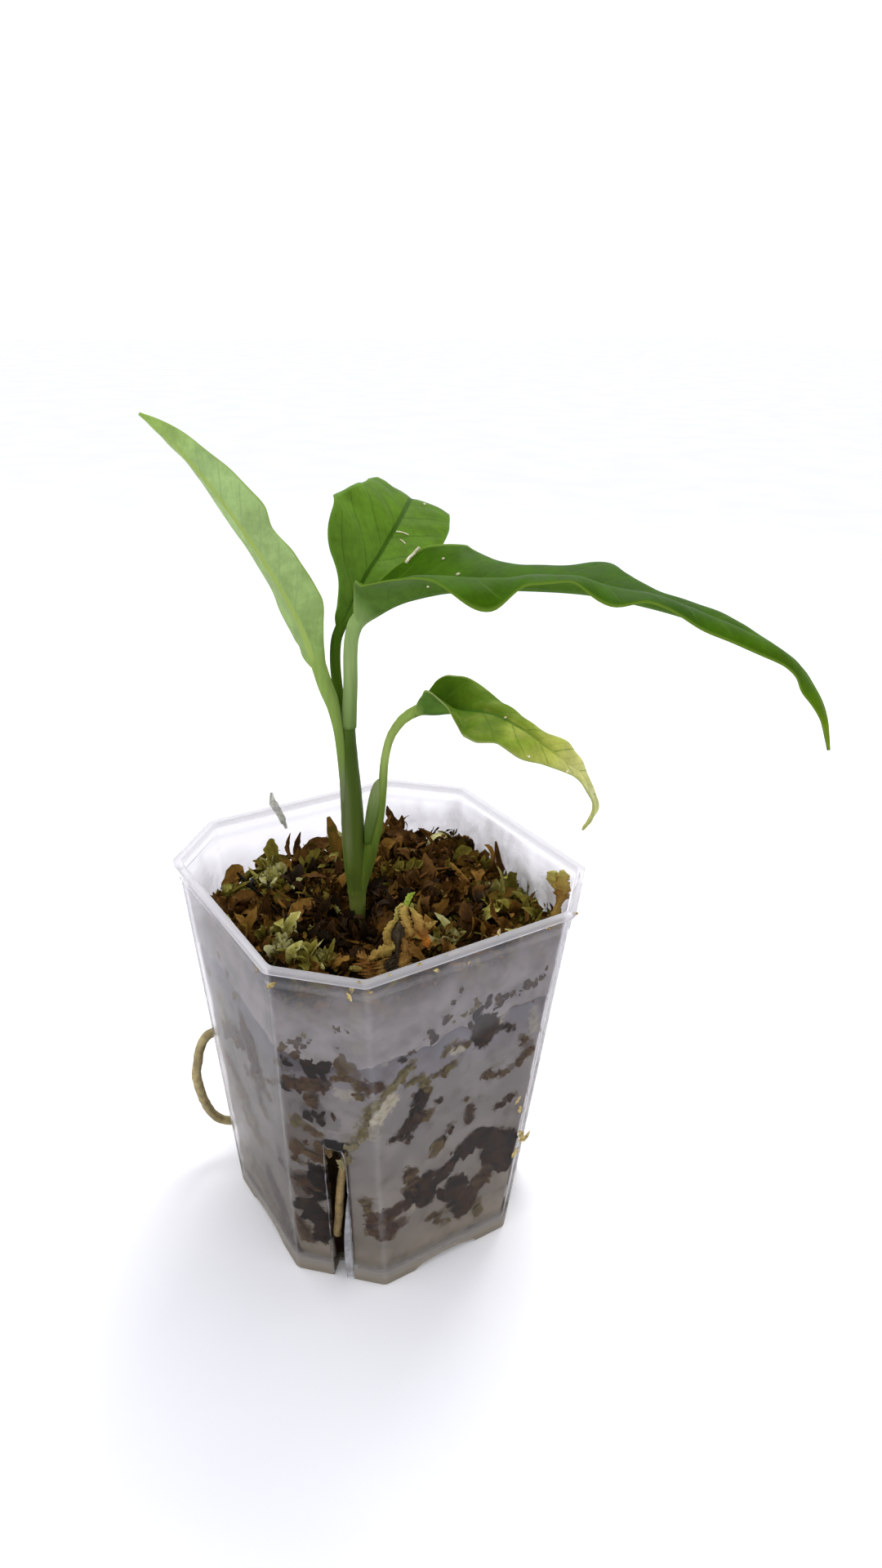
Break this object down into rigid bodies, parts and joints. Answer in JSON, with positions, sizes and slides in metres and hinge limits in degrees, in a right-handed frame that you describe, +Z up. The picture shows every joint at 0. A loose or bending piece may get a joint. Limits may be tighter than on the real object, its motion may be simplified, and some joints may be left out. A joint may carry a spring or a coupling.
{
  "type": "potted monstera",
  "caption": "Young monstera with long, wavy leaves in a frosted plastic nursery pot with cut corners, filled with moss, a root looping out of a corner slot.",
  "frame": {"origin": "centre of the pot's foot, on the surface that the pot stands on", "axes": "+Z up through the pot; the pot's long walls face +X, -X, +Y and -Y; the long leaf points to +X and -Y"},
  "size_m": [0.0921, 0.1083, 0.1649],
  "materials": {
    "pot": "frosted, see-through polypropylene",
    "moss": "matt, loose brown and olive sphagnum",
    "stem": "smooth green, slightly glossy",
    "leaf_long": "dark green, waxy",
    "leaf_back": "green, waxy",
    "leaf_young": "light green, waxy",
    "leaf_low": "yellowing green, waxy",
    "root_loop": "matt, grey-brown",
    "root_slot": "matt, yellow-brown",
    "moss_sprig_front": "matt, dried ochre moss with a green tip",
    "moss_sprig_side": "matt, yellow-green moss"
  },
  "bodies": {
    "root": {"pot": "pot", "moss": "moss", "stem": "stem", "leaf_long": "leaf_long", "leaf_back": "leaf_back", "leaf_young": "leaf_young", "leaf_low": "leaf_low", "root_loop": "root_loop", "root_slot": "root_slot", "moss_sprig_front": "moss_sprig_front", "moss_sprig_side": "moss_sprig_side"}
  },
  "joints": []
}
